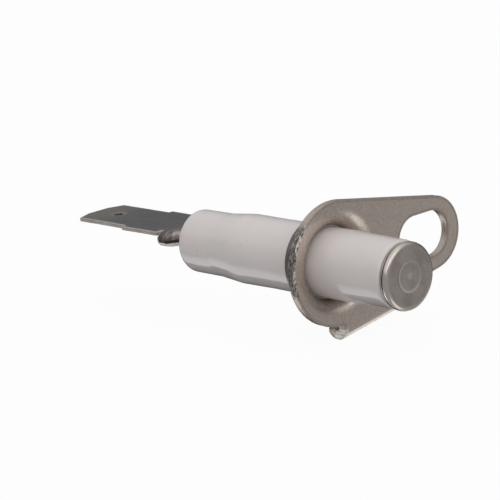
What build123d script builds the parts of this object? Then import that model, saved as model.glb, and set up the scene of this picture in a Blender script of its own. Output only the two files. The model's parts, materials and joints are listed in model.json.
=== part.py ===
from build123d import *
import os
from math import acos, cos, radians, sin

# Ignition electrode for a gas burner: a metal disc on the end of a ceramic insulator, held by a stamped
# plate with one screw slot, with a 6.3 mm blade terminal at the back.
#
# Frame, in millimetres: the electrode's axis is Y. The spark disc is at -Y and the blade terminal at +Y.
# The origin is where that axis meets the plate's back face, which seats on the burner bracket.
# +X runs to the screw slot, and +Z is up. Each piece that comes apart on a bench is one file in parts/.

# Stamped mounting plate. Its back face is at y = 0.
SHEET = 0.9
PLATE_R = 6.25            # round part, centred on the insulator
END_R = 3.75              # round end, beyond the slot
END_X = 13.7              # centre of the round end
SLOT_WIDTH = 4.7          # for an M4 screw
SLOT_LENGTH = 7.15
SLOT_X = 12.2             # middle of the slot
COLLAR_WALL = 0.55        # thinned where the sheet is drawn
COLLAR_GAP = 0.1          # cement film between the collar and the ceramic
COLLAR_LENGTH = 2.5       # how far the collar stands behind the back face
MOUTH_R = 1.9             # rounded mouth of the collar on the front face
HEEL_R = 0.8              # rounded corner between the back face and the collar

# Curled lower edge of the plate: the sheet turns backward through almost half a circle, and lies under the
# bracket's edge, so that the electrode cannot turn on its one screw.
CURL_R = 1.22             # outer radius
CURL_DISTANCE = 6.73      # from the insulator's axis to the curl's centre line
CURL_SLOPE = 8.1          # degrees that the curled edge rises towards the slot
CURL_START = -0.8         # along the edge, from the foot of the perpendicular
CURL_END = 9.2
CURL_CLEARANCE = 0.1      # the curl's end stays this far outside the flat part, so the bracket can pass

# Ceramic insulator, from the spark end to the terminal end
NOSE_END_Y = -9.32
NOSE_END_R = 3.36         # the nose tapers a little towards the disc
NOSE_EDGE = 0.33          # rounding of the nose's front edge
BODY_R = 3.55             # plain cylinder, where the plate sits
CONE_START_Y = 11.4       # behind this the body steps down
CONE_END_Y = 14.6
CONE_BLEND = 2.0          # rounding at both ends of the step
TAIL_R = 3.25
TAIL_END_Y = 19.15
TAIL_EDGE = 0.85          # rounding of the tail's rear edge
POCKET_R = 2.38           # cement pocket in the tail
POCKET_DEPTH = 2.8

# Centre rod. It lies on the bottom of its bore, so the rod and all it carries sit a little low.
ROD_R = 1.05
ROD_CLEARANCE = 0.1
ROD_END_Y = 20.3
RIVET_R = 1.58            # spun head of the rod, let into the disc
RIVET_DEPTH = 0.28
RIVET_PROUD = 0.06

# Disc at the rod's front end, and the thin washer behind it
DISC_FRONT_Y = -10.28
DISC_R = 3.36
DISC_THICKNESS = 0.6
DISC_EDGE = 0.17
WASHER_R = 3.22
WASHER_FIT = 0.03         # clearance of the washer on the rod

# Blade terminal
BLADE = 0.4               # sheet thickness
BLADE_WIDTH = 6.3
BLADE_TIP_Y = 34.9
TIP_CUT_X = 1.8           # corner cut of the tip, across and along the blade
TIP_CUT_Y = 0.7
SHOULDER_WIDTH = 7.25
SHOULDER_Y = 27.0         # where the blade widens
SHOULDER_CUT = 0.2
LATCH_Y = 31.5            # latch hole of the blade
LATCH_HOLE_R = 0.4
WING_FOLD_R = 0.78        # outer radius of the edges folded under the blade's root
WING_LEAF = 1.0           # flat part of a wing
WING_START_Y = 20.4
WING_END_Y = 21.55
NECK_WIDTH = 4.4          # pinched part of the root, which goes into the cement pocket
NECK_START_Y = 17.6
NECK_END_Y = 19.4
BARREL_START_Y = 17.0     # below the blade, a tube is rolled round the rod
BARREL_END_Y = 20.3
BARREL_SEAM = 30.0        # half angle of the barrel's open seam, in degrees

COLLAR_INNER_R = BODY_R + COLLAR_GAP
COLLAR_OUTER_R = COLLAR_INNER_R + COLLAR_WALL
POCKET_START_Y = TAIL_END_Y - POCKET_DEPTH
DISC_BACK_Y = DISC_FRONT_Y + DISC_THICKNESS
BARREL_OUTER_R = ROD_R + BLADE

os.makedirs("parts", exist_ok=True)


def turned(points):
    """Solid of revolution about the Y axis, from a closed outline of (radius, y) points."""
    return revolve(make_face(Polyline(*points, close=True)), Axis.Y)


def ring(outer_r, inner_r, start_y, end_y):
    """Plain tube along the Y axis."""
    return turned([(inner_r, start_y), (outer_r, start_y), (outer_r, end_y), (inner_r, end_y)])


def across(y):
    """Plane across the axis, for a sketch drawn in (x, z)."""
    return Plane(origin=(0, y, 0), x_dir=(1, 0, 0), z_dir=(0, -1, 0))


def stand(sketch, start_y, end_y):
    """Extrudes a sketch drawn in (x, z) between two places along Y."""
    return extrude(across(start_y) * sketch, amount=start_y - end_y)


def on_rod(shape):
    """Moves a piece from the insulator's axis down to the rod's."""
    return Pos(0, 0, -ROD_CLEARANCE) * shape


def ceramic_insulator():
    """The insulator, turned from its outline in (radius, y)."""
    bore_r = ROD_R + ROD_CLEARANCE
    outline = make_face(
        Polyline(
            (bore_r, NOSE_END_Y),
            (NOSE_END_R, NOSE_END_Y),
            (BODY_R, 0),
            (BODY_R, CONE_START_Y),
            (TAIL_R, CONE_END_Y),
            (TAIL_R, TAIL_END_Y),
            (POCKET_R, TAIL_END_Y),
            (POCKET_R, POCKET_START_Y),
            (bore_r, POCKET_START_Y),
            close=True,
        )
    )
    for radius, y, rounding in (
        (NOSE_END_R, NOSE_END_Y, NOSE_EDGE),
        (BODY_R, CONE_START_Y, CONE_BLEND),
        (TAIL_R, CONE_END_Y, CONE_BLEND),
        (TAIL_R, TAIL_END_Y, TAIL_EDGE),
    ):
        outline = fillet(outline.vertices().sort_by_distance((radius, y))[0], rounding)
    return revolve(outline, Axis.Y)


def plate_outline():
    """Two circles of different size, joined by their outer tangents."""
    tilt = acos((PLATE_R - END_R) / END_X)
    corners = []
    for side in (1, -1):
        normal = Vector(cos(tilt), side * sin(tilt))
        corners.append(normal * PLATE_R)
        corners.append(Vector(END_X, 0) + normal * END_R)
    web = make_face(Polyline(corners[0], corners[1], corners[3], corners[2], close=True))
    return Circle(PLATE_R) + Pos(END_X, 0) * Circle(END_R) + web


def curl_point(along, out):
    """A point of the plate in (x, z), from its place along the curled edge and its distance outwards."""
    a = radians(CURL_SLOPE)
    return (along * cos(a) + out * sin(a), along * sin(a) - out * cos(a))


def curl_skirt():
    """Flat part of the sheet between the plate's round outline and the start of the curl."""
    return make_face(
        Polyline(
            curl_point(CURL_START, CURL_DISTANCE / 2),
            curl_point(CURL_START, CURL_DISTANCE),
            curl_point(CURL_END, CURL_DISTANCE),
            curl_point(CURL_END, CURL_DISTANCE / 2),
            close=True,
        )
    )


def curl():
    """The curl, drawn in (outwards, y) as a half circle with a trimmed end, and run along the edge."""
    a = radians(CURL_SLOPE)
    arc = Circle(CURL_R) - Circle(CURL_R - SHEET) - Pos(-CURL_R, 0) * Rectangle(2 * CURL_R, 3 * CURL_R)
    arc -= Pos(0, CURL_R) * Rectangle(2 * CURL_CLEARANCE, 2 * CURL_R)
    start = curl_point(CURL_START, CURL_DISTANCE)
    plane = Plane(
        origin=(start[0], CURL_R - SHEET, start[1]),
        x_dir=(sin(a), 0, -cos(a)),
        z_dir=(cos(a), 0, sin(a)),
    )
    return extrude(plane * arc, amount=CURL_END - CURL_START)


def collar():
    """Drawn collar with a rounded mouth, turned from its section in (radius, y)."""
    mouth_r = COLLAR_INNER_R + MOUTH_R
    mouth = RadiusArc((mouth_r, -SHEET), (COLLAR_INNER_R, MOUTH_R - SHEET), MOUTH_R)
    wall = Polyline(
        (COLLAR_INNER_R, MOUTH_R - SHEET),
        (COLLAR_INNER_R, COLLAR_LENGTH),
        (COLLAR_OUTER_R, COLLAR_LENGTH),
        (COLLAR_OUTER_R, HEEL_R),
    )
    heel = RadiusArc((COLLAR_OUTER_R, HEEL_R), (COLLAR_OUTER_R + HEEL_R, 0), -HEEL_R)
    edge = Polyline((COLLAR_OUTER_R + HEEL_R, 0), (mouth_r, 0), (mouth_r, -SHEET))
    return revolve(make_face([mouth, wall, heel, edge]), Axis.Y)


def mounting_plate():
    flat = plate_outline() + curl_skirt()
    flat -= Circle(COLLAR_INNER_R + MOUTH_R)
    flat -= Pos(SLOT_X, 0) * SlotOverall(SLOT_LENGTH, SLOT_WIDTH)
    return stand(flat, -SHEET, 0) + collar() + curl()


def collar_cement():
    """Thin film of cement that holds the ceramic in the collar."""
    return ring(COLLAR_INNER_R, BODY_R, MOUTH_R - SHEET, COLLAR_LENGTH)


def electrode_disc():
    body = ring(DISC_R, ROD_R, DISC_FRONT_Y, DISC_BACK_Y)
    rims = body.edges().filter_by(GeomType.CIRCLE).filter_by(lambda e: abs(e.radius - DISC_R) < 1e-6)
    body = fillet(rims, DISC_EDGE)
    recess = ring(RIVET_R, ROD_R / 2, DISC_FRONT_Y - 1, DISC_FRONT_Y + RIVET_DEPTH)
    return on_rod(body - recess)


def tip_washer():
    return on_rod(ring(WASHER_R, ROD_R + WASHER_FIT, DISC_BACK_Y, NOSE_END_Y))


def rod():
    """The centre rod, on the insulator's axis."""
    seat_y = DISC_FRONT_Y + RIVET_DEPTH
    return turned(
        [
            (0, DISC_FRONT_Y - RIVET_PROUD),
            (RIVET_R - RIVET_PROUD, DISC_FRONT_Y - RIVET_PROUD),
            (RIVET_R, DISC_FRONT_Y),
            (RIVET_R, seat_y),
            (ROD_R, seat_y),
            (ROD_R, ROD_END_Y),
            (0, ROD_END_Y),
        ]
    )


def electrode_rod():
    return on_rod(rod())


def blade_outline():
    """The flat blade and its root in (x, y), without the folded edges."""
    half = BLADE_WIDTH / 2
    shoulder = SHOULDER_WIDTH / 2
    neck = NECK_WIDTH / 2 - WING_FOLD_R
    wing = shoulder - WING_FOLD_R
    side = [
        (neck, NECK_START_Y),
        (neck, NECK_END_Y),
        (wing, WING_START_Y),
        (wing, WING_END_Y),
        (shoulder, WING_END_Y),
        (shoulder, SHOULDER_Y - SHOULDER_CUT),
        (shoulder - SHOULDER_CUT, SHOULDER_Y),
        (half, SHOULDER_Y),
        (half, BLADE_TIP_Y - TIP_CUT_Y),
        (half - TIP_CUT_X, BLADE_TIP_Y),
    ]
    return side + [(-x, y) for x, y in reversed(side)]


def folded_edge(side, width):
    """A folded edge in (x, z) on one side of a root of this width: half a circle down and under it."""
    fold = Circle(WING_FOLD_R) - Circle(WING_FOLD_R - BLADE)
    fold -= Pos(-side * WING_FOLD_R, 0) * Rectangle(2 * WING_FOLD_R, 3 * WING_FOLD_R)
    return Pos(side * (width / 2 - WING_FOLD_R), BARREL_OUTER_R - WING_FOLD_R) * fold


def wing_leaf(side):
    """The flat part of a wing in (x, z), which carries on from its folded edge under the blade."""
    outer_x = SHOULDER_WIDTH / 2 - WING_FOLD_R
    middle_z = BARREL_OUTER_R - 2 * WING_FOLD_R + BLADE / 2
    return Pos(side * (outer_x - WING_LEAF / 2), middle_z) * Rectangle(WING_LEAF, BLADE)


def barrel():
    """Tube round the rod, with an open seam underneath."""
    tube = ring(BARREL_OUTER_R, ROD_R, BARREL_START_Y, BARREL_END_Y)
    seam_x = 2 * BARREL_OUTER_R * sin(radians(BARREL_SEAM))
    seam_z = -2 * BARREL_OUTER_R * cos(radians(BARREL_SEAM))
    seam = make_face(Polyline((0, 0), (-seam_x, seam_z), (seam_x, seam_z), close=True))
    return tube - stand(seam, BARREL_START_Y - 1, BARREL_END_Y + 1)


def terminal():
    """The blade terminal, with its barrel on the insulator's axis."""
    blade = extrude(make_face(Polyline(*blade_outline(), close=True)), amount=BLADE)
    blade -= Pos(0, LATCH_Y) * Cylinder(LATCH_HOLE_R, 4 * BLADE)
    whole = Pos(0, 0, ROD_R) * blade + barrel()
    for side in (1, -1):
        wide = folded_edge(side, SHOULDER_WIDTH)
        narrow = folded_edge(side, NECK_WIDTH)
        whole += stand(wide + wing_leaf(side), WING_START_Y, WING_END_Y)
        whole += loft([across(NECK_END_Y) * narrow, across(WING_START_Y) * wide], ruled=True)
        whole += stand(narrow, NECK_START_Y, NECK_END_Y)
    return whole


def spade_terminal():
    return on_rod(terminal())


def terminal_cement():
    """Potting in the tail of the insulator, round the rod and the barrel."""
    return ring(POCKET_R, 0, POCKET_START_Y, TAIL_END_Y) - on_rod(terminal()) - on_rod(rod())


for build in (
    ceramic_insulator,
    mounting_plate,
    collar_cement,
    electrode_disc,
    tip_washer,
    electrode_rod,
    spade_terminal,
    terminal_cement,
):
    export_step(build(), f"parts/{build.__name__}.step")
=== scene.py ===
import json
import math
from itertools import pairwise

import bmesh
import bpy
from mathutils import Matrix, Vector, noise

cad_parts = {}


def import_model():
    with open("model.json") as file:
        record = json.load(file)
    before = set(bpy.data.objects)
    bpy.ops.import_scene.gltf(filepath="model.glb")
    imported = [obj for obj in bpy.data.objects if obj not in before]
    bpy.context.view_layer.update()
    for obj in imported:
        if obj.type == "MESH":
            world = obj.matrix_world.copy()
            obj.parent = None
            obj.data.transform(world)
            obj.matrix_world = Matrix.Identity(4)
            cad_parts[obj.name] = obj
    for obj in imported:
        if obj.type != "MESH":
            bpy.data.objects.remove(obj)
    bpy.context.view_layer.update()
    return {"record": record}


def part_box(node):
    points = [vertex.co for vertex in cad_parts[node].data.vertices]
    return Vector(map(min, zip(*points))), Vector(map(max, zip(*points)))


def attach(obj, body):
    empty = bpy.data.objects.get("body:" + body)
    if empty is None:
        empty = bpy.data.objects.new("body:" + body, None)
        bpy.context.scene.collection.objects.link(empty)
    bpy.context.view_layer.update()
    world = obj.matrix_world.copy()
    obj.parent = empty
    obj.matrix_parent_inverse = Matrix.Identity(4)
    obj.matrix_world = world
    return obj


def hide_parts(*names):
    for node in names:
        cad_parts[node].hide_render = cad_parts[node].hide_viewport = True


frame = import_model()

MM = 0.001
BODY = "root"
SHARP_ANGLE = math.radians(38)
TURN_STEPS = 160          # faces round a turned piece
ARC_STEP = 0.14           # length of one step along a curved outline
GRID_STEP = 0.6           # cuts across flat sheet, so that it can be slightly wavy
WRINKLE_STEP = 0.07       # cuts across the pinched root
FACE, CUT, PAINTED_BRIGHT_END = 0, 1, 2       # material slots of the sheet pieces
ON_AXIS = 1e-6            # a radius below this is a point on the axis
SAME_PLACE = 1e-4         # vertices closer than this are joined
MITRE_LIMIT = 0.6         # keeps an edge's offset short at a sharp corner


def span(node):
    """Lowest and highest corners of a CAD node, in millimetres."""
    low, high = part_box(node)
    return low / MM, high / MM


ceramic_low, ceramic_high = span("ceramic_insulator")
plate_low, plate_high = span("mounting_plate")
cement_low, cement_high = span("collar_cement")
disc_low, disc_high = span("electrode_disc")
washer_low, washer_high = span("tip_washer")
rod_low, rod_high = span("electrode_rod")
blade_low, blade_high = span("spade_terminal")
potting_low, potting_high = span("terminal_cement")
MOUNTS = {mount["name"]: mount for mount in frame["record"]["mounts"]}

# Sizes that the boxes above do not give: the plate
SHEET = 0.9
PLATE_R = 6.25
END_R = 3.75
CURL_R = 1.22
CURL_DISTANCE = 6.73      # from the axis to the fold line
CURL_SLOPE = math.radians(8.1)
CURL_START = -0.8
CURL_END = 9.2
CURL_TRIM = 0.1           # the curl stops this much short of a half circle
CURL_CORNER = 0.32        # rounding of the curl's two free corners
COLLAR_WALL = 0.55
MOUTH_R = 1.9
HEEL_R = 0.8
FLAT_MARGIN = 0.22        # flat sheet kept round the collar before it curves
TORN_WAY = Vector((-0.97, 0.25))   # from the axis towards the middle of the torn edge, in (x, z)

# The ceramic, and the rod, which lies on the bottom of its bore
NOSE_R = 3.36
NOSE_EDGE = 0.33
NOSE_BLEND = 12
TAIL_R = 3.25
TAIL_EDGE = 0.78
CONE_START_Y = 11.4
CONE_END_Y = 14.6
CONE_BLEND = 5
BORE_R = 1.15
ROD_R = 1.05
ROD_Z = -0.1
HEAD_SEAT = 0.34          # from the front of the rod's head to its seat in the disc

# The blade terminal
BLADE = 0.4
BLADE_WIDTH = 6.3
TIP_CUT_X = 1.8
TIP_CUT_Y = 0.7
SHOULDER_Y = 27.0
LATCH_Y = 31.5
LATCH_HOLE_R = 0.4
LATCH_MOUTH_R = 0.62
WING_FOLD_R = 0.78
WING_LEAF = 1.0
WING_START_Y = 20.4
WING_END_Y = 21.55
NECK_WIDTH = 4.4          # the root is pinched to this width in the insulator's tail
NECK_START_Y = 17.6
NECK_END_Y = 19.4
WRINKLE_PITCH = 0.28
BARREL_END_Y = 20.3
BARREL_TURN = math.radians(150)    # each half of the barrel wraps this far round the rod
SLIT = 0.08               # parts the folded wings from the flat blade


# Mesh helpers

def rounded(corners, closed=True):
    """An outline from (x, y, radius) corners, with the corners of positive radius turned into arcs."""
    points = []
    count = len(corners)
    for i, (x, y, radius) in enumerate(corners):
        here = Vector((x, y))
        if radius == 0 or not closed and i in (0, count - 1):
            points.append(here)
            continue
        towards = (Vector(corners[i - 1][:2]) - here).normalized()
        onwards = (Vector(corners[(i + 1) % count][:2]) - here).normalized()
        half = towards.angle(onwards) / 2
        centre = here + (towards + onwards).normalized() * radius / math.sin(half)
        first = here + towards * radius / math.tan(half) - centre
        sweep = first.angle_signed(here + onwards * radius / math.tan(half) - centre)
        steps = max(3, round(radius * abs(sweep) / ARC_STEP))
        for k in range(steps + 1):
            points.append(centre + Matrix.Rotation(-sweep * k / steps, 2) @ first)
    return points


def arc(x, y, radius, start, end):
    """Points along an arc, from one angle in degrees to another."""
    steps = max(6, round(abs(math.radians(end - start)) * radius / ARC_STEP))
    angles = [math.radians(start + (end - start) * k / steps) for k in range(steps + 1)]
    return [Vector((x + radius * math.cos(a), y + radius * math.sin(a))) for a in angles]


def stepped(points, step):
    """The same closed outline with its long stretches divided."""
    result = []
    for here, after in zip(points, points[1:] + points[:1]):
        pieces = max(1, math.ceil((after - here).length / step))
        result += [here.lerp(after, k / pieces) for k in range(pieces)]
    return result


def skin(bm, first, second):
    """Quads between two closed rings of vertices. A ring of one vertex closes to a point."""
    count = max(len(first), len(second))
    for i in range(count):
        j = (i + 1) % count
        corners = [first[i % len(first)], first[j % len(first)]]
        corners += [second[j % len(second)], second[i % len(second)]]
        face = list(dict.fromkeys(corners))
        if len(face) > 2:
            bm.faces.new(face)


def turn(bm, outline, z=0, uneven=None):
    """Turns a closed outline of (radius, y) about Y. uneven(angle, radius, y) moves a point outwards."""
    rings = []
    for radius, y in outline:
        if radius < ON_AXIS:
            rings.append([bm.verts.new((0, y, z))])
            continue
        ring = []
        for k in range(TURN_STEPS):
            angle = 2 * math.pi * k / TURN_STEPS
            r = radius + (uneven(angle, radius, y) if uneven else 0)
            ring.append(bm.verts.new((r * math.cos(angle), y, z + r * math.sin(angle))))
        rings.append(ring)
    for first, second in zip(rings, rings[1:] + rings[:1]):
        if len(first) > 1 or len(second) > 1:
            skin(bm, first, second)


def outwards(points):
    """Normals of a closed outline, away from the sheet, mitred at the corners."""
    normals = []
    for before, here, after in zip(points[-1:] + points[:-1], points, points[1:] + points[:1]):
        a = (here - before).normalized()
        b = (after - here).normalized()
        normal = Vector((a.y + b.y, -a.x - b.x)).normalized()
        normals.append(normal / max(MITRE_LIMIT, normal.dot(Vector((a.y, -a.x)))))
    return normals


def rim(bm, points, rows, material, tear=None):
    """Skins one edge of a sheet with rows of (outward offset, depth, raggedness), and returns its first and
    last rings. tear(point) scales the raggedness."""
    normals = outwards(points)
    rings = []
    for offset, depth, ragged in rows:
        ring = []
        for point, normal in zip(points, normals):
            grit = noise.noise(Vector((point.x * 5, point.y * 5, depth * 9)))
            chips = noise.noise(Vector((point.x * 1.7, point.y * 1.7, depth * 2 + 7)))
            torn = ragged * (tear(point) if tear else 1)
            place = point + normal * (offset + torn * (grit + chips) / 2)
            ring.append(bm.verts.new((place.x, place.y, depth)))
        rings.append(ring)
    for first, second in pairwise(rings):
        before = len(bm.faces)
        skin(bm, first, second)
        bm.faces.ensure_lookup_table()
        for face in bm.faces[before:]:
            face.material_index = material
    return rings[0], rings[-1]


def blank(bm, edges):
    """A flat sheet in (x, y, depth) between edges, each an (outline, rows, material). The outer outline runs
    anticlockwise and the holes clockwise."""
    for rings in zip(*[rim(bm, *edge) for edge in edges]):
        loops = []
        for ring in rings:
            for pair in zip(ring, ring[1:] + ring[:1]):
                loops.append(bm.edges.get(pair) or bm.edges.new(pair))
        bmesh.ops.triangle_fill(bm, edges=loops, use_beauty=True, use_dissolve=False)


def cut(bm, direction, distances):
    """Cuts the sheet across a direction at each distance along it."""
    for distance in distances:
        geometry = bm.verts[:] + bm.edges[:] + bm.faces[:]
        bmesh.ops.bisect_plane(bm, geom=geometry, plane_co=direction * distance, plane_no=direction)


def bend(verts, direction, fold, centre_depth, middle_r, turn_angle):
    """Bends the sheet beyond a fold line round a centre, and leaves what is left over straight."""
    for vert in verts:
        beyond = vert.co.dot(direction) - fold
        if beyond <= 0:
            continue
        side = 1 if centre_depth > vert.co.z else -1
        radius = abs(vert.co.z - centre_depth)
        angle = min(beyond / middle_r, turn_angle)
        left = beyond - angle * middle_r
        out = radius * math.sin(angle) + left * math.cos(angle)
        depth = centre_depth - side * radius * math.cos(angle) + side * left * math.sin(angle)
        vert.co += direction * (out - beyond)
        vert.co.z = depth


def steps_between(low, high, step):
    count = max(1, round((high - low) / step))
    return [low + (high - low) * k / count for k in range(1, count)]


def ripple(point, scale, seed):
    """Slow, smooth unevenness between about -1 and 1."""
    return noise.noise(point * scale + Vector((seed, seed, seed)))


def piece(name, bm, materials, node):
    """Makes a finished object of the mesh and puts it in place of its CAD node."""
    bmesh.ops.remove_doubles(bm, verts=bm.verts, dist=SAME_PLACE)
    bmesh.ops.recalc_face_normals(bm, faces=bm.faces)
    for face in bm.faces:
        face.smooth = True
    for edge in bm.edges:
        edge.smooth = len(edge.link_faces) == 2 and edge.calc_face_angle() < SHARP_ANGLE
    bmesh.ops.scale(bm, vec=(MM, MM, MM), verts=bm.verts)
    mesh = bpy.data.meshes.new(name)
    bm.to_mesh(mesh)
    bm.free()
    for material in materials:
        mesh.materials.append(material)
    obj = bpy.data.objects.new(name, mesh)
    bpy.context.scene.collection.objects.link(obj)
    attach(obj, BODY)
    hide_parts(node)


# Shader helpers

class Shader:
    """Adds nodes to one node tree. Inputs may be values or other nodes' sockets."""

    def __init__(self, tree):
        self.tree = tree

    def add(self, kind, inputs=None, **settings):
        node = self.tree.nodes.new(kind)
        for key, value in settings.items():
            setattr(node, key, value)
        for key, value in (inputs or {}).items():
            if isinstance(value, bpy.types.NodeSocket):
                self.tree.links.new(value, node.inputs[key])
            else:
                node.inputs[key].default_value = value
        return node

    def math(self, operation, first, second=0.0, third=0.0):
        return self.add("ShaderNodeMath", {0: first, 1: second, 2: third}, operation=operation).outputs[0]

    def vector(self, operation, first, second):
        node = self.add("ShaderNodeVectorMath", {0: first, 1: second}, operation=operation)
        return node.outputs["Value" if operation == "DOT_PRODUCT" else "Vector"]

    def length(self, vector):
        return self.add("ShaderNodeVectorMath", {0: vector}, operation="LENGTH").outputs["Value"]

    def axes(self, vector):
        return self.add("ShaderNodeSeparateXYZ", {0: vector}).outputs

    def spread(self, value, low, high, to_low=0.0, to_high=1.0):
        """Maps a range of values smoothly onto another range."""
        inputs = {"Value": value, 1: low, 2: high, 3: to_low, 4: to_high}
        return self.add("ShaderNodeMapRange", inputs, interpolation_type="SMOOTHSTEP").outputs[0]

    def blend(self, factor, first, second):
        inputs = {0: factor, 6: first, 7: second}
        return self.add("ShaderNodeMix", inputs, data_type="RGBA").outputs[2]

    def grain(self, place, scale, detail=3.0, roughness=0.55, stretch=(1, 1, 1)):
        """Noise with its scale in cells per millimetre."""
        place = self.vector("MULTIPLY", place, tuple(scale * s for s in stretch))
        inputs = {"Vector": place, "Scale": 1.0, "Detail": detail, "Roughness": roughness}
        return self.add("ShaderNodeTexNoise", inputs).outputs["Fac"]

    def bump(self, height, depth_mm):
        inputs = {"Height": height, "Distance": depth_mm * MM, "Strength": 1.0}
        return self.add("ShaderNodeBump", inputs).outputs[0]


def new_material(name):
    """A material with its shader, its principled surface, and the object's coordinates in millimetres."""
    material = bpy.data.materials.new(name)
    material.use_nodes = True
    shader = Shader(material.node_tree)
    surface = material.node_tree.nodes["Principled BSDF"]
    place = shader.add("ShaderNodeTexCoord").outputs["Object"]
    return material, shader, surface, shader.vector("MULTIPLY", place, (1 / MM, 1 / MM, 1 / MM))


def finish(shader, surface, **inputs):
    """Connects or sets the named inputs of the principled surface."""
    names = {"color": "Base Color", "coat": "Coat Weight", "specular": "Specular IOR Level"}
    for key, value in inputs.items():
        socket = surface.inputs[names.get(key, key.replace("_", " ").title())]
        if isinstance(value, bpy.types.NodeSocket):
            shader.tree.links.new(value, socket)
        else:
            socket.default_value = value


# Materials

def glazed_ceramic():
    """Grey-white fired body with a few pits, under a glaze with a slight orange peel."""
    material, s, surface, place = new_material("glazed_ceramic")
    grey_white = (0.70, 0.655, 0.64, 1)
    pale = (0.72, 0.665, 0.655, 1)
    pit_grey = (0.45, 0.42, 0.40, 1)
    color = s.blend(s.spread(s.grain(place, 0.16, 2.0), 0.35, 0.65), grey_white, pale)
    pits = s.spread(s.grain(place, 2.6, 1.0), 0.70, 0.76, 0, 0.25)
    color = s.blend(pits, color, pit_grey)
    peel = s.grain(place, 0.9, 2.0)
    dust = s.spread(s.grain(place, 7.0, 3.0), 0.4, 0.7, 0.30, 0.38)
    finish(s, surface, color=color, roughness=dust, coat=1.0, coat_roughness=0.05,
           normal=s.bump(peel, 0.02), coat_normal=s.bump(peel, 0.008), specular=0.1)
    return material


def stamped_steel():
    """The plate: brown-grey stainless, paler towards the slot, finely speckled, with painted shade on the
    collar where it stands behind the plate.
    """
    material, s, surface, place = new_material("stamped_steel")
    brown_grey = (0.62, 0.54, 0.475, 1)
    pale = (0.71, 0.625, 0.545, 1)
    dark_fleck = (0.42, 0.35, 0.31, 1)
    bright_fleck = (0.92, 0.84, 0.77, 1)
    painted_collar_shade = (0.19, 0.17, 0.16, 1)
    x, y = s.axes(place)[:2]
    drift = s.math("MULTIPLY_ADD", s.grain(place, 0.22, 3.0), 12.0, x)
    color = s.blend(s.spread(drift, 0, 24), brown_grey, pale)
    fine = s.grain(place, 5.0, 3.0, 0.75)
    color = s.blend(s.spread(fine, 0.52, 0.66, 0, 0.4), color, dark_fleck)
    color = s.blend(s.spread(fine, 0.47, 0.36, 0, 0.3), color, bright_fleck)
    # Painted shade: the collar's wall behind the plate (y above 0.1) is blended to near black.
    color = s.blend(s.spread(y, 0.1, 0.7), color, painted_collar_shade)
    roughness = s.spread(s.grain(place, 0.5, 3.0), 0.35, 0.68, 0.23, 0.29)
    finish(s, surface, color=color, metallic=1.0, roughness=roughness, normal=s.bump(fine, 0.012))
    return material


def sheared_steel():
    """The plate's cut edge: torn at its far left and streaked dark there with cracks and painted shade, with
    a bright burr in front, plain elsewhere.
    """
    material, s, surface, place = new_material("sheared_steel")
    crack_and_painted_shade = (0.09, 0.08, 0.075, 1)
    torn_grey = (0.40, 0.37, 0.345, 1)
    bare = (0.92, 0.88, 0.83, 1)
    plain_dark = (0.47, 0.40, 0.355, 1)
    plain_light = (0.58, 0.51, 0.455, 1)
    y = s.axes(place)[1]
    streaks = s.grain(place, 2.4, 4.0, 0.7, (1, 2.2, 1))
    torn = s.blend(s.spread(streaks, 0.38, 0.62), crack_and_painted_shade, torn_grey)
    patchy = s.spread(s.grain(place, 1.1, 4.0, 0.75), 0.47, 0.58)
    burr = s.math("MULTIPLY", s.spread(y, -0.72, -0.82), patchy)
    torn = s.blend(burr, torn, bare)
    plain = s.blend(s.spread(streaks, 0.3, 0.7), plain_dark, plain_light)
    towards_torn = s.vector("DOT_PRODUCT", place, (TORN_WAY.x, 0, TORN_WAY.y))
    # The dark streaks of the torn far left are partly real cracks and partly painted shade.
    color = s.blend(s.spread(towards_torn, 5.5, 4.9), torn, plain)
    finish(s, surface, color=color, metallic=1.0, roughness=0.36, normal=s.bump(streaks, 0.02))
    return material


def curl_end_painted_highlight():
    """The cut end of the curl and the curl beside it, painted bright as a highlight."""
    material, s, surface, place = new_material("curl_end_painted_highlight")
    grey = (0.62, 0.57, 0.52, 1)
    bare = (0.92, 0.88, 0.83, 1)
    streaks = s.grain(place, 4.0, 3.0, 0.6, (1, 0.3, 1))
    color = s.blend(s.spread(streaks, 0.35, 0.62), grey, bare)
    finish(s, surface, color=color, metallic=0.75, roughness=0.5, normal=s.bump(streaks, 0.02))
    return material


def turned_steel():
    """The disc: fine concentric tool marks, stains, a polished rim, and painted shade at the rim's back,
    where it meets the washer.
    """
    material, s, surface, place = new_material("turned_steel")
    clean = (0.57, 0.50, 0.455, 1)
    stained = (0.44, 0.395, 0.37, 1)
    polished = (0.66, 0.59, 0.54, 1)
    painted_gap_shade = (0.06, 0.052, 0.048, 1)
    y = s.axes(place)[1]
    radius = s.length(s.vector("MULTIPLY", place, (1, 0, 1)))
    rings_at = s.add("ShaderNodeCombineXYZ", {0: s.math("MULTIPLY", radius, 11.0), 1: 0.0, 2: 0.0}).outputs[0]
    rings = s.grain(rings_at, 1.0, 3.0, 0.7)
    stain = s.spread(s.grain(place, 0.55, 4.0, 0.6), 0.36, 0.66)
    rim_share = s.spread(radius, disc_high.x - 0.5, disc_high.x - 0.25)
    color = s.blend(rim_share, s.blend(stain, clean, stained), polished)
    # Painted shade: the back of the disc's rim is blended to near black, where it meets the washer.
    color = s.blend(s.spread(y, disc_high.y - 0.2, disc_high.y - 0.08), color, painted_gap_shade)
    roughness = s.math("MULTIPLY", s.spread(stain, 0, 1, 0.24, 0.31), s.spread(rim_share, 0, 1, 1.0, 0.6))
    tangent = s.add("ShaderNodeTangent", direction_type="RADIAL", axis="Y").outputs[0]
    finish(s, surface, color=color, metallic=1.0, roughness=roughness, anisotropic=0.3, tangent=tangent,
           normal=s.bump(rings, 0.005))
    return material


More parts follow.
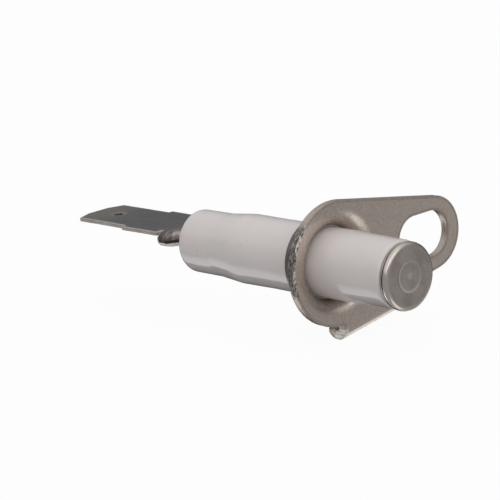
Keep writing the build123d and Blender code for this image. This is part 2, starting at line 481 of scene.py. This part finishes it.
def washer_steel_with_painted_shade():
    """The washer: bare only at the middle of its rim, and painted black with shade in the grooves beside it.
    """
    material, s, surface, place = new_material("washer_steel_with_painted_shade")
    bare = (0.46, 0.42, 0.39, 1)
    painted_gap_shade = (0.035, 0.03, 0.028, 1)
    middle = (washer_low.y + washer_high.y) / 2
    aside = s.math("ABSOLUTE", s.math("SUBTRACT", s.axes(place)[1], middle))
    mottle = s.grain(place, 1.6, 3.0)
    edge = s.math("MULTIPLY_ADD", mottle, 0.08, aside)
    # Painted shade: the washer is blended to near black either side of its rim's middle, in the grooves
    # between the parts.
    color = s.blend(s.spread(edge, 0.09, 0.14), bare, painted_gap_shade)
    finish(s, surface, color=color, metallic=1.0, roughness=s.spread(mottle, 0.3, 0.7, 0.35, 0.5),
           normal=s.bump(mottle, 0.01))
    return material


def spun_steel():
    """The rod and its spun head, which is paler at the centre and where its edge was rubbed."""
    material, s, surface, place = new_material("spun_steel")
    clean = (0.56, 0.50, 0.465, 1)
    stained = (0.45, 0.405, 0.375, 1)
    bright = (0.72, 0.65, 0.60, 1)
    stain = s.spread(s.grain(place, 0.9, 3.0), 0.35, 0.68)
    radius = s.length(s.vector("MULTIPLY", place, (1, 0, 1)))
    centre = s.spread(radius, 0.55, 0.15, 0, 0.8)
    edge = s.spread(radius, rod_high.x - 0.3, rod_high.x - 0.1)
    color = s.blend(s.math("MAXIMUM", centre, edge), s.blend(stain, clean, stained), bright)
    drag = s.grain(place, 6.0, 3.0, 0.6)
    finish(s, surface, color=color, metallic=1.0, roughness=s.spread(drag, 0.3, 0.7, 0.28, 0.34),
           normal=s.bump(drag, 0.004))
    return material


def heat_dark_steel():
    """The blade: blue-grey oxide with draw lines, brown towards the tip, with a painted highlight round its
    latch hole and painted shade inside it. Its root has painted highlight streaks where it is pinched, and
    painted shade on its folded sides above a painted highlight along its lower side."""
    material, s, surface, place = new_material("heat_dark_steel")
    blue_grey = (0.125, 0.125, 0.135, 1)
    tip_brown = (0.21, 0.19, 0.175, 1)
    root_brown = (0.17, 0.145, 0.135, 1)
    draw_line = (0.28, 0.265, 0.25, 1)
    painted_hole_highlight = (0.33, 0.31, 0.29, 1)
    painted_hole_shade = (0.05, 0.048, 0.045, 1)
    reddish_painted_shade = (0.085, 0.06, 0.058, 1)
    painted_pinch_highlight = (0.36, 0.315, 0.29, 1)
    bare = (0.92, 0.88, 0.80, 1)
    y, z = s.axes(place)[1:]

    drift = s.math("MULTIPLY_ADD", s.grain(place, 0.35, 3.0), 6.0, y)
    color = s.blend(s.spread(drift, 32.0, 36.5), blue_grey, tip_brown)
    color = s.blend(s.spread(drift, 25.5, 23.0), color, root_brown)
    drawn = s.grain(place, 5.0, 3.0, 0.6, (1, 0.06, 1))
    color = s.blend(s.spread(drawn, 0.55, 0.75, 0, 0.3), color, draw_line)

    from_hole = s.length(s.vector("SUBTRACT", place, (0, LATCH_Y, blade_high.z)))
    # Painted highlight round the latch hole's mouth, and painted shade on its wall.
    color = s.blend(s.spread(from_hole, 1.0, 0.7, 0, 0.8), color, painted_hole_highlight)
    color = s.blend(s.spread(from_hole, 0.58, 0.44), color, painted_hole_shade)

    on_root = s.spread(y, WING_END_Y + 0.3, WING_END_Y)
    # Painted shade: the folded sides of the root, below the blade's top, are blended to a dark reddish
    # colour.
    color = s.blend(s.math("MULTIPLY", on_root, s.spread(z, 0.62, 0.5)), color, reddish_painted_shade)
    # Painted highlight: light streaks on top of the root where it is pinched.
    pinch = s.math("MULTIPLY", s.spread(y, 20.9, 20.4), s.spread(z, 0.5, 0.62))
    streaks = s.spread(s.grain(place, 2.6, 2.0, 0.5, (0.4, 1, 0.2)), 0.42, 0.58)
    color = s.blend(s.math("MULTIPLY", pinch, streaks), color, painted_pinch_highlight)
    # Painted highlight: the root's lower side is blended to bright bare steel and made less metallic.
    painted_underside_highlight = s.math("MULTIPLY", on_root, s.spread(z, 0.27, 0.17))
    color = s.blend(painted_underside_highlight, color, bare)
    finish(s, surface, color=color, metallic=s.spread(painted_underside_highlight, 0, 1, 1.0, 0.5),
           roughness=s.spread(drawn, 0.3, 0.7, 0.34, 0.46), normal=s.bump(drawn, 0.01))
    return material


def sheared_blade():
    """The cut edge of the blade, where the dark skin is broken and the bare steel shows."""
    material, s, surface, place = new_material("sheared_blade")
    grey = (0.52, 0.47, 0.43, 1)
    bare = (0.62, 0.565, 0.525, 1)
    tears = s.grain(place, 3.0, 4.0, 0.65, (1, 0.4, 1))
    color = s.blend(s.spread(tears, 0.4, 0.62), grey, bare)
    finish(s, surface, color=color, metallic=1.0, roughness=0.42, normal=s.bump(tears, 0.008))
    return material


def set_cement():
    """Sandy, matt cement."""
    material, s, surface, place = new_material("set_cement")
    brown_sand = (0.50, 0.47, 0.43, 1)
    pale_sand = (0.72, 0.70, 0.66, 1)
    sand = s.grain(place, 6.0, 4.0, 0.7)
    color = s.blend(s.spread(sand, 0.3, 0.7), brown_sand, pale_sand)
    finish(s, surface, color=color, roughness=0.9, normal=s.bump(sand, 0.04))
    return material


# Turned pieces

def insulator():
    """The body is pressed and fired, so its glazed outside is never quite straight or round."""
    body_r = ceramic_high.x
    pocket_r = potting_high.x
    pocket_y = potting_low.y
    outline = rounded(
        [
            (BORE_R, ceramic_low.y, 0.15),
            (NOSE_R, ceramic_low.y, NOSE_EDGE),
            (body_r, 0, NOSE_BLEND),
            (body_r, CONE_START_Y, CONE_BLEND),
            (TAIL_R, CONE_END_Y, CONE_BLEND),
            (TAIL_R, ceramic_high.y, TAIL_EDGE),
            (pocket_r, ceramic_high.y, 0.06),
            (pocket_r, pocket_y, 0),
            (BORE_R, pocket_y, 0),
        ]
    )

    def uneven(angle, radius, y):
        if radius < pocket_r + 0.2:
            return 0
        across, up = math.cos(angle), math.sin(angle)
        slow = ripple(Vector((across * 1.2, y * 0.22, up * 1.2)), 1, 3)
        quick = ripple(Vector((across * 3.5, y * 0.7, up * 3.5)), 1, 11)
        return 0.035 * (slow - 0.3) + 0.008 * quick

    bm = bmesh.new()
    turn(bm, stepped(outline, 0.4), uneven=uneven)
    piece("insulator_body", bm, [glazed_ceramic()], "ceramic_insulator")


def disc():
    """A disc with a rounded front edge, let in at the middle for the rod's head."""
    seat = rod_low.y + HEAD_SEAT
    head_r = rod_high.x
    front = disc_low.y
    outline = rounded(
        [
            (ROD_R, disc_high.y, 0),
            (ROD_R, seat, 0),
            (head_r - 0.01, seat, 0),
            (head_r, front + 0.01, 0.01),
            (head_r + 0.08, front, 0.02),
            (disc_high.x - 0.30, front, 0.12),
            (disc_high.x - 0.07, front + 0.09, 0.12),
            (disc_high.x, front + 0.34, 0.12),
            (disc_high.x, disc_high.y, 0.10),
        ]
    )
    bm = bmesh.new()
    turn(bm, stepped(outline, 0.25), z=ROD_Z)
    piece("disc_face", bm, [turned_steel()], "electrode_disc")


def washer():
    """A thin ring whose rim stands out between two grooves."""
    bore_r = ROD_R + 0.03
    radius = washer_high.x + 0.04
    groove_r = radius - 0.3
    outline = rounded(
        [
            (bore_r, washer_low.y, 0),
            (groove_r, washer_low.y, 0),
            (groove_r + 0.05, washer_low.y + 0.06, 0),
            (radius, washer_low.y + 0.09, 0.04),
            (radius, washer_high.y - 0.09, 0.04),
            (groove_r + 0.05, washer_high.y - 0.06, 0),
            (groove_r, washer_high.y, 0),
            (bore_r, washer_high.y, 0),
        ]
    )
    bm = bmesh.new()
    turn(bm, outline, z=ROD_Z)
    piece("washer_ring", bm, [washer_steel_with_painted_shade()], "tip_washer")


def rod():
    """The rod, with a spun head that is slightly raised at its edge."""
    head_r = rod_high.x
    front = rod_low.y
    seat = front + HEAD_SEAT
    outline = rounded(
        [
            (0, front + 0.035, 0),
            (0.45, front + 0.045, 0.2),
            (head_r - 0.3, front + 0.045, 0.1),
            (head_r - 0.14, front + 0.03, 0.05),
            (head_r - 0.01, front + 0.058, 0),
            (head_r - 0.01, seat, 0),
            (ROD_R, seat, 0),
            (ROD_R, rod_high.y, 0.18),
            (0, rod_high.y, 0),
        ],
        closed=False,
    )
    bm = bmesh.new()
    turn(bm, outline, z=ROD_Z)
    piece("rod_shaft", bm, [spun_steel()], "electrode_rod")


def collar_film():
    """Cement between collar and ceramic, which runs out thinly round the collar's mouth."""
    inner = ceramic_high.x
    outer = cement_high.x
    outline = [
        (inner, cement_low.y - 0.5),
        (outer + 0.04, cement_low.y - 0.3),
        (outer, cement_low.y),
        (outer, cement_high.y - 0.05),
        (inner, cement_high.y + 0.02),
    ]

    def uneven(angle, radius, y):
        return 0.01 * ripple(Vector((math.cos(angle) * 4, y, math.sin(angle) * 4)), 1, 5)

    bm = bmesh.new()
    turn(bm, outline, uneven=uneven)
    piece("collar_film", bm, [set_cement()], "collar_cement")


# Sheet pieces

def sheared_rows():
    """Rows of the plate's cut edge: burr and torn zone in front, smooth zone, rolled corner behind."""
    return [
        (-0.26, 0, 0),
        (-0.16, 0, 0),
        (-0.05, 0.005, 0.03),
        (0.0, -0.012, 0.05),
        (0.02, 0.06 * SHEET, 0.07),
        (-0.02, 0.14 * SHEET, 0.10),
        (-0.03, 0.24 * SHEET, 0.11),
        (-0.03, 0.34 * SHEET, 0.10),
        (-0.01, 0.44 * SHEET, 0.07),
        (0, 0.52 * SHEET, 0.02),
        (0, 0.68 * SHEET, 0.006),
        (0, 0.82 * SHEET, 0.006),
        (-0.03, 0.93 * SHEET, 0),
        (-0.08, 0.985 * SHEET, 0),
        (-0.16, SHEET, 0),
        (-0.26, SHEET, 0),
    ]


def mouth_rows():
    """Rows of the collar: mouth, wall, rim, wall and heel, from the mouth's outer circle inwards."""
    rows = [(-FLAT_MARGIN, 0, 0)]
    mouth_steps = 18
    for k in range(mouth_steps + 1):
        angle = math.pi / 2 * k / mouth_steps
        ease = 0.14 * (1 - k / mouth_steps) ** 2
        rows.append((MOUTH_R * math.sin(angle) - ease, MOUTH_R * (1 - math.cos(angle)), 0))
    rows += [(MOUTH_R, MOUTH_R + 0.6 * k, 0.01) for k in (1, 2)]
    end = SHEET + plate_high.y
    outside = MOUTH_R - COLLAR_WALL
    rows += [(MOUTH_R - 0.02, end - 0.10, 0.03), (MOUTH_R - 0.12, end - 0.01, 0.05)]
    rows += [(outside + 0.12, end, 0.05), (outside, end - 0.12, 0.03)]
    heel = SHEET + HEEL_R
    rows += [(outside, heel + (end - heel) * k / 4, 0.008) for k in (3, 2, 1)]
    heel_steps = 6
    for k in range(heel_steps + 1):
        angle = math.pi / 2 * k / heel_steps
        rows.append((outside - HEEL_R * (1 - math.cos(angle)), SHEET + HEEL_R * (1 - math.sin(angle)), 0))
    rows.append((-FLAT_MARGIN, SHEET, 0))
    return rows


def plate_outline(along, out, flap_end):
    """The flat blank: round part, far end, and the flap that becomes the curl. along and out are the
    directions along the fold line and away from it."""
    end_x = plate_high.x - END_R
    tilt = math.acos((PLATE_R - END_R) / end_x)
    corner = along * CURL_START + out * math.sqrt(PLATE_R ** 2 - CURL_START ** 2)
    corner_angle = math.degrees(math.atan2(corner.y, corner.x)) % 360
    lower = arc(end_x, 0, END_R, -math.degrees(tilt), math.degrees(tilt))
    upper = arc(0, 0, PLATE_R, math.degrees(tilt), corner_angle)
    tangent_normal = Vector((math.cos(tilt), -math.sin(tilt)))
    meets_web = (PLATE_R - CURL_END * along.dot(tangent_normal)) / out.dot(tangent_normal)
    flap = [(corner.x, corner.y, 0)]
    for a, o, radius in (
        (CURL_START, flap_end, CURL_CORNER),
        (CURL_END, flap_end, CURL_CORNER),
        (CURL_END, meets_web, 0),
    ):
        point = along * a + out * o
        flap.append((point.x, point.y, radius))
    return stepped(lower + upper + rounded(flap, closed=False)[1:], ARC_STEP)


def slot_outline():
    """Clockwise, because it is a hole."""
    slot = MOUNTS["screw_slot"]
    radius = slot["dims"]["hole_r_mm"]
    middle = slot["pos_m"][0] / MM
    half = slot["dims"]["slot_length_mm"] / 2 - radius
    ends = arc(middle + half, 0, radius, 90, -90) + arc(middle - half, 0, radius, -90, -270)
    return stepped(ends, ARC_STEP)


def plate():
    """The plate, cut as a flat blank with its collar, then folded at the curl."""
    middle_r = CURL_R - SHEET / 2
    flap_end = CURL_DISTANCE + math.pi * middle_r - CURL_TRIM
    along = Vector((math.cos(CURL_SLOPE), math.sin(CURL_SLOPE)))
    out = Vector((along.y, -along.x))
    mouth = arc(0, 0, cement_high.x + MOUTH_R, 360, 0)[:-1]

    def tear(point):
        """The die was blunt on one side, so only the plate's far left edge is torn."""
        if point.dot(out) > flap_end - 1:
            return 0.1
        return 0.1 + 0.9 * min(1, max(0, point.dot(TORN_WAY) - 4.7))

    bm = bmesh.new()
    blank(
        bm,
        [
            (plate_outline(along, out, flap_end), sheared_rows(), CUT, tear),
            (slot_outline(), sheared_rows(), CUT, tear),
            (mouth, mouth_rows(), FACE),
        ],
    )
    for x in steps_between(plate_low.x, plate_high.x, GRID_STEP):
        flat = [f for f in bm.faces if abs(f.normal.z) > 0.99 and f.calc_area() > 0.02]
        parts = list({v for f in flat for v in f.verts}) + list({e for f in flat for e in f.edges}) + flat
        bmesh.ops.bisect_plane(bm, geom=parts, plane_co=(x, 0, 0), plane_no=(1, 0, 0))
        bm.normal_update()
    across = out.to_3d()
    curl_cuts = 14
    cut(bm, across, [CURL_DISTANCE + math.pi * middle_r * k / curl_cuts for k in range(curl_cuts + 1)])
    for face in bm.faces:
        middle = face.calc_center_median().xy
        if face.material_index == CUT and middle.dot(out) > flap_end - 0.1:
            face.material_index = FACE
        elif middle.dot(along) < CURL_START + 0.5 and 0 < middle.dot(out) - CURL_DISTANCE < 2 * middle_r:
            # The curl's end gets the brightly painted material, a painted highlight.
            face.material_index = PAINTED_BRIGHT_END
    bend(bm.verts, across, CURL_DISTANCE, CURL_R, middle_r, math.pi)
    for vert in bm.verts:
        u, v, depth = vert.co
        wave = 0.03 * ripple(Vector((u, v, 0)), 0.16, 2)
        vert.co = (u, depth - SHEET + wave * min(1, max(0, math.hypot(u, v) - 5)), v)
    materials = [stamped_steel(), sheared_steel(), curl_end_painted_highlight()]
    piece("plate_sheet", bm, materials, "mounting_plate")


def blade_outline():
    """The blade with its folded edges opened out, in (x, y), anticlockwise. A slit parts wing and blade."""
    half = BLADE_WIDTH / 2
    shoulder = blade_high.x
    fold_x = shoulder - WING_FOLD_R
    folded = fold_x + math.pi * (WING_FOLD_R - BLADE / 2)
    tip = blade_high.y
    side = [
        (folded, NECK_START_Y, 0.15),
        (folded, WING_START_Y - 0.2, 0.1),
        (folded + WING_LEAF, WING_START_Y, 0.15),
        (folded + WING_LEAF, WING_END_Y, 0.3),
        (fold_x, WING_END_Y, 0),
        (fold_x, WING_END_Y + SLIT, 0),
        (shoulder, WING_END_Y + SLIT, 0),
        (shoulder, SHOULDER_Y, 0.12),
        (half, SHOULDER_Y, 0.05),
        (half, tip - TIP_CUT_Y, 0.15),
        (half - TIP_CUT_X, tip, 0.25),
    ]
    corners = side + [(-x, y, r) for x, y, r in reversed(side)]
    return stepped(rounded(corners), 0.16)


def blade_rows():
    """Rows of the blade's cut edge: rolled corner on top, then a smooth zone and a torn zone."""
    return [
        (-0.2, 0, 0),
        (-0.12, 0, 0),
        (-0.04, 0.015, 0),
        (-0.005, 0.06, 0.004),
        (0, 0.3 * BLADE, 0.006),
        (0, 0.5 * BLADE, 0.01),
        (-0.01, 0.62 * BLADE, 0.02),
        (-0.01, 0.8 * BLADE, 0.03),
        (-0.01, 0.97 * BLADE, 0.02),
        (-0.05, BLADE, 0.02),
        (-0.12, BLADE, 0),
        (-0.2, BLADE, 0),
    ]


def latch_rows():
    """Rows of the pierced latch hole, with its mouth drawn in at the top face."""
    wall = LATCH_MOUTH_R - LATCH_HOLE_R
    return [
        (-0.2, 0, 0),
        (-0.04, 0, 0),
        (0.05, 0.02, 0.01),
        (wall - 0.03, 0.1, 0.01),
        (wall, 0.16, 0.01),
        (wall, BLADE, 0.02),
        (0, BLADE, 0),
    ]


def barrel():
    """The root rolled round the rod, as a sheet in (x, y, depth) below the blade."""
    middle_r = ROD_R + BLADE / 2
    reach = middle_r * BARREL_TURN
    ends = (blade_low.y, BARREL_END_Y)
    corners = [(reach, y, 0.1) for y in ends] + [(-reach, y, 0.1) for y in reversed(ends)]
    bm = bmesh.new()
    blank(bm, [(stepped(rounded(corners), 0.16), blade_rows(), CUT)])
    half_cuts = 16
    cut(bm, Vector((1, 0, 0)), [reach * k / half_cuts for k in range(1 - half_cuts, half_cuts)])
    for side in (Vector((1, 0, 0)), Vector((-1, 0, 0))):
        bend(bm.verts, side, 0, BLADE + ROD_R, middle_r, BARREL_TURN)
    for vert in bm.verts:
        vert.co.z += 0.02
    mesh = bpy.data.meshes.new("barrel")
    bm.to_mesh(mesh)
    bm.free()
    return mesh


def pinched(x, y):
    """Narrows the folded root towards the insulator, with small wrinkles where it is pinched."""
    share = min(1, max(0, (y - NECK_END_Y) / (WING_START_Y - NECK_END_Y)))
    full_width = 2 * blade_high.x
    width = NECK_WIDTH + (full_width - NECK_WIDTH) * share * share * (3 - 2 * share)
    wrinkle = 0.035 * math.sin(2 * math.pi * y / WRINKLE_PITCH) * math.sin(math.pi * share)
    return x * width / full_width + math.copysign(wrinkle, x) * min(1, abs(x) / 3)


def terminal():
    """The blade, cut flat with its latch hole, then folded and pinched at the root, with its barrel below."""
    middle_r = WING_FOLD_R - BLADE / 2
    fold_x = blade_high.x - WING_FOLD_R
    hole = arc(0, LATCH_Y, LATCH_MOUTH_R, 360, 0)[:-1]
    bm = bmesh.new()
    blank(bm, [(blade_outline(), blade_rows(), CUT), (hole, latch_rows(), FACE)])
    cut(bm, Vector((0, 1, 0)), steps_between(NECK_START_Y, WING_START_Y, WRINKLE_STEP))
    cut(bm, Vector((0, 1, 0)), steps_between(WING_START_Y, blade_high.y, GRID_STEP))
    fold_cuts = 12
    for side in (Vector((1, 0, 0)), Vector((-1, 0, 0))):
        cut(bm, side, [fold_x + math.pi * middle_r * k / fold_cuts for k in range(fold_cuts + 1)])
        root = [v for v in bm.verts if v.co.y < WING_END_Y + SLIT / 2]
        bend(root, side, fold_x, WING_FOLD_R, middle_r, math.pi)
    for vert in bm.verts:
        vert.co.x = pinched(vert.co.x, vert.co.y)
    bm.from_mesh(barrel())
    for vert in bm.verts:
        u, v, depth = vert.co
        wave = 0.03 * ripple(Vector((u, v, 0)), 0.2, 9)
        vert.co = (u, v, blade_high.z - depth + wave * min(1, max(0, (v - WING_END_Y) / 3)))
    piece("terminal_blade", bm, [heat_dark_steel(), sheared_blade()], "spade_terminal")


def potting():
    """Cement in the insulator's tail, with a sunken, uneven surface."""
    top = potting_high.y
    radius = potting_high.x
    outline = [(0, potting_low.y), (radius, potting_low.y), (radius, top - 0.08)]
    steps = 8
    for k in range(steps - 1, -1, -1):
        outline.append((radius * k / steps, top - 0.12 - 0.10 * math.sin(math.pi * k / steps)))
    bm = bmesh.new()
    turn(bm, outline)
    for vert in bm.verts:
        if vert.co.y > top - 0.5:
            vert.co.y += 0.05 * ripple(Vector(vert.co), 1.5, 4)
    piece("tail_potting", bm, [set_cement()], "terminal_cement")


# Stage

def world():
    """A light tent: dim all round, brighter above and low at the right, with lamps and dark gaps. The camera
    sees it as a white wall."""
    lamps = (    # direction, half angles in degrees where a lamp starts to fade and where it ends, strength
        ((-0.55, -0.69, 0.46), 12, 30, 0.8),     # lights the disc's edge at upper left
        ((0.12, -0.88, 0.42), 8, 24, 0.6),       # the collar's mouth at lower right
        ((0.30, -0.66, -0.69), 5, 18, 0.7),      # the mouth at upper right
        ((-0.17, 0.71, -0.68), 8, 26, 1.1),      # the ceramic's underside
    )
    gaps = (     # the same, with the share of the light that a gap takes away
        ((0.3, 0.72, -0.62), 22.5, 24.5, 1.0),   # ends the light on the ceramic's underside sharply
        ((0.97, 0.10, 0.10), 20, 45, 0.6),       # darkens the left of the mouth
        ((0.66, 0.58, -0.48), 4, 14, 0.8),       # the line below the curl
    )
    scene = bpy.context.scene
    scene.world = bpy.data.worlds.new("studio")
    scene.world.use_nodes = True
    s = Shader(scene.world.node_tree)
    background = scene.world.node_tree.nodes["Background"]
    way = s.add("ShaderNodeTexCoord").outputs["Generated"]
    x, y, z = s.axes(way)

    def patch(direction, inner, outer, level):
        """Light inside a cone about a direction, fading to nothing between two half angles in degrees."""
        nearness = s.vector("DOT_PRODUCT", way, tuple(Vector(direction).normalized()))
        return s.spread(nearness, math.cos(math.radians(outer)), math.cos(math.radians(inner)), 0, level)

    above = s.math("MULTIPLY", s.spread(z, 0.2, 0.45, 0, 0.6), s.spread(y, 0.7, -0.2, 0.5, 1))
    above = s.math("MULTIPLY", above, s.spread(x, 0.75, 0.2, 0.4, 1))
    below = s.math("MULTIPLY", s.spread(z, -0.3, -0.45, 0, 0.8), s.spread(x, -0.1, 0.5))
    below = s.math("MULTIPLY", below, s.math("MULTIPLY", s.spread(y, -0.2, 0.1), s.spread(y, 0.6, 0.4)))
    level = s.math("ADD", s.math("ADD", above, below), 0.36)
    for lamp in lamps:
        level = s.math("ADD", level, patch(*lamp))
    for gap in gaps:
        level = s.math("MULTIPLY", level, s.math("SUBTRACT", 1.0, patch(*gap)))
    white_to_camera = s.math("MAXIMUM", level, s.add("ShaderNodeLightPath").outputs["Is Camera Ray"])
    s.tree.links.new(white_to_camera, background.inputs["Strength"])
    background.inputs["Color"].default_value = (1, 1, 1, 1)
    scene.view_settings.view_transform = "Standard"


def floor():
    """A white floor under the plate, seen only by the camera. The light tent lights the object from below."""
    size = 3.0
    z = plate_low.z * MM
    corners = [(x, y, z) for x, y in ((-size, -size), (size, -size), (size, size), (-size, size))]
    mesh = bpy.data.meshes.new("floor")
    mesh.from_pydata(corners, [], [(0, 1, 2, 3)])
    obj = bpy.data.objects.new("floor", mesh)
    bpy.context.scene.collection.objects.link(obj)
    material = bpy.data.materials.new("pale_floor")
    material.use_nodes = True
    s = Shader(material.node_tree)
    material.node_tree.nodes.remove(material.node_tree.nodes["Principled BSDF"])
    matt = s.add("ShaderNodeBsdfDiffuse", {"Color": (0.85, 0.85, 0.85, 1)}).outputs[0]
    glow = s.add("ShaderNodeEmission", {"Strength": 1.0}).outputs[0]
    mixed = s.add("ShaderNodeMixShader", {0: 0.95, 1: matt, 2: glow}).outputs[0]
    s.tree.links.new(mixed, material.node_tree.nodes["Material Output"].inputs[0])
    mesh.materials.append(material)
    obj.visible_diffuse = False
    obj.visible_glossy = False
    obj.visible_shadow = False


def camera():
    azimuth = math.radians(-42.86)
    elevation = math.radians(13.95)
    roll = math.radians(4.83)
    distance = 268.7
    aim = Vector((0, 11.64, -0.16))
    back = Vector((math.sin(azimuth), -math.cos(azimuth), 0)) * math.cos(elevation)
    back.z = math.sin(elevation)
    level = Vector((math.cos(azimuth), math.sin(azimuth), 0))
    right = level * math.cos(roll) - back.cross(level) * math.sin(roll)
    data = bpy.data.cameras.new("camera")
    data.sensor_width = 36
    data.lens = 192.2
    data.clip_start = 0.01
    obj = bpy.data.objects.new("camera", data)
    bpy.context.scene.collection.objects.link(obj)
    obj.matrix_world = Matrix((right, back.cross(right), back)).transposed().to_4x4()
    obj.matrix_world.translation = (aim + back * distance) * MM
    bpy.context.scene.camera = obj


insulator()
plate()
collar_film()
disc()
washer()
rod()
terminal()
potting()
world()
floor()
camera()
